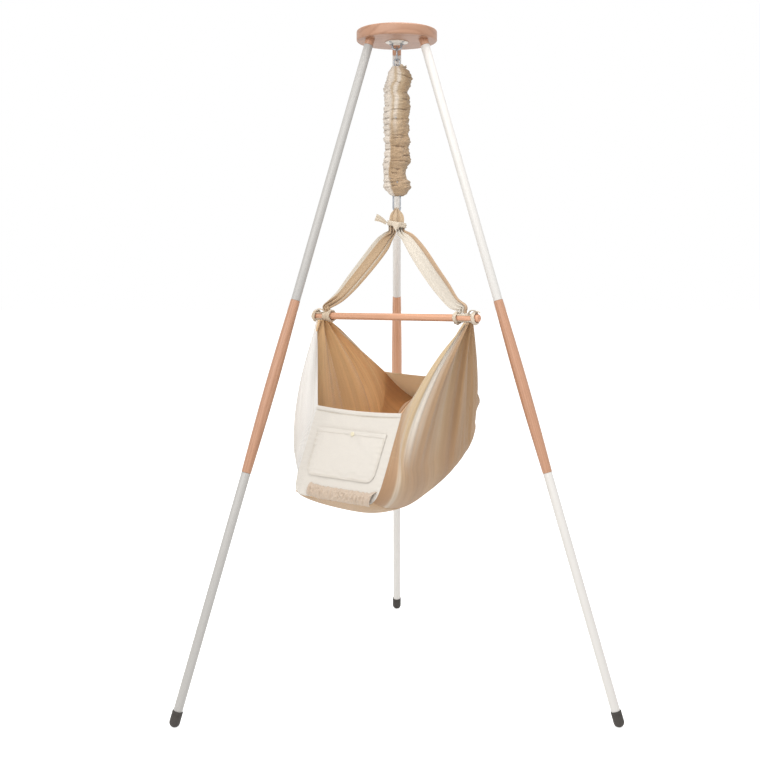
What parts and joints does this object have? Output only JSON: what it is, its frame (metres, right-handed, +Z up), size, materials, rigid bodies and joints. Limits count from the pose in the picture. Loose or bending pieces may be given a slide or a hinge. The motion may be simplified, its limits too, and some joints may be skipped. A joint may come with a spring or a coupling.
{
  "type": "baby hammock with stand",
  "caption": "Cloth baby hammock with a mattress and a foot pocket, hung by slings, a spreader bar and a sleeved spring from the top disc of a tripod stand of wood and metal tubes.",
  "frame": {"origin": "on the floor, below the middle of the bounding box of the whole hammock and stand", "axes": "+Z up; -Y towards the open front of the stand, between its two front legs; +Y towards its rear leg; +X to the viewer's right from the front. The cradle's foot end points to -X and -Y, 37 degrees off -Y."},
  "size_m": [1.2126, 1.0541, 1.88],
  "materials": {
    "beech": "oiled",
    "white_tube": "satin",
    "rubber": "matte",
    "plate_steel": "satin",
    "dark_steel": "satin",
    "zinc": "satin",
    "cotton": "woven cotton",
    "canvas": "woven canvas",
    "mattress_cover": "woven cotton",
    "snap_plastic": "gloss"
  },
  "bodies": {
    "stand": {"head_disc": "beech", "leg_peg_left": "beech", "upper_tube_left": "white_tube", "middle_pole_left": "beech", "lower_tube_left": "white_tube", "foot_cap_left": "rubber", "peg_stud_left": "zinc", "upper_stud_left": "zinc", "lower_stud_left": "zinc", "leg_peg_right": "beech", "upper_tube_right": "white_tube", "middle_pole_right": "beech", "lower_tube_right": "white_tube", "foot_cap_right": "rubber", "peg_stud_right": "zinc", "upper_stud_right": "zinc", "lower_stud_right": "zinc", "leg_peg_rear": "beech", "upper_tube_rear": "white_tube", "middle_pole_rear": "beech", "lower_tube_rear": "white_tube", "foot_cap_rear": "rubber", "peg_stud_rear": "zinc", "upper_stud_rear": "zinc", "lower_stud_rear": "zinc", "hanger_plate": "plate_steel", "plate_screw_1": "dark_steel", "plate_screw_2": "dark_steel", "plate_screw_3": "dark_steel", "plate_screw_4": "dark_steel", "hanger_bow": "dark_steel"},
    "upper_hook": {"upper_hook_body": "dark_steel", "upper_gate_pin": "zinc"},
    "upper_gate": {"upper_hook_gate": "dark_steel"},
    "spring_head": {"spring_ring": "dark_steel", "suspension_spring": "zinc", "spring_sleeve": "cotton"},
    "lower_hook": {"lower_hook_body": "dark_steel", "lower_gate_pin": "zinc"},
    "lower_gate": {"lower_hook_gate": "dark_steel"},
    "cradle": {"sling_loop": "cotton", "sling_tie": "cotton", "tie_tail": "cotton", "sling_left": "cotton", "sling_right": "cotton", "spreader_bar": "beech", "bar_tie_left": "cotton", "bar_tie_right": "cotton", "side_panel_left": "cotton", "side_panel_right": "cotton", "base_panel": "cotton", "foot_panel": "canvas", "head_panel": "cotton", "foot_hem": "canvas", "mattress": "mattress_cover", "snap_stud": "snap_plastic"},
    "pocket_front": {"pocket": "canvas", "snap_cap": "snap_plastic", "snap_socket": "snap_plastic"}
  },
  "joints": [
    {"name": "hook_rock", "type": "hinge", "parent": "stand", "child": "upper_hook", "pos_m": [0, -0.1709, 1.829], "axis": [1, 0, 0], "range_deg": [-4, 4]},
    {"name": "upper_gate_open", "type": "hinge", "parent": "upper_hook", "child": "upper_gate", "pos_m": [0, -0.1809, 1.81195], "axis": [-1, 0, 0], "range_deg": [0, 25], "stiffness_Nm_per_rad": 0.004, "springref_deg": -20.05},
    {"name": "spring_rock", "type": "hinge", "parent": "upper_hook", "child": "spring_head", "pos_m": [0, -0.1709, 1.79845], "axis": [0, 1, 0], "range_deg": [-3, 4]},
    {"name": "spring_stretch", "type": "slide", "parent": "spring_head", "child": "lower_hook", "axis": [0, 0, -1], "range_m": [0, 0.2], "stiffness_N_per_m": 400, "springref_m": -0.078, "deforming": ["suspension_spring", "spring_sleeve"]},
    {"name": "lower_gate_open", "type": "hinge", "parent": "lower_hook", "child": "lower_gate", "pos_m": [0.01, -0.1709, 1.39315], "axis": [0, -1, 0], "range_deg": [0, 20], "stiffness_Nm_per_rad": 0.004, "springref_deg": -20.05},
    {"name": "cradle_swing", "type": "hinge", "parent": "lower_hook", "child": "cradle", "pos_m": [0, -0.1709, 1.37965], "axis": [1, 0, 0], "range_deg": [-2, 2]},
    {"name": "pocket_open", "type": "hinge", "parent": "cradle", "child": "pocket_front", "pos_m": [-0.15958, -0.38267, 0.64463], "axis": [0.7986, -0.6018, 0], "range_deg": [0, 8]}
  ]
}
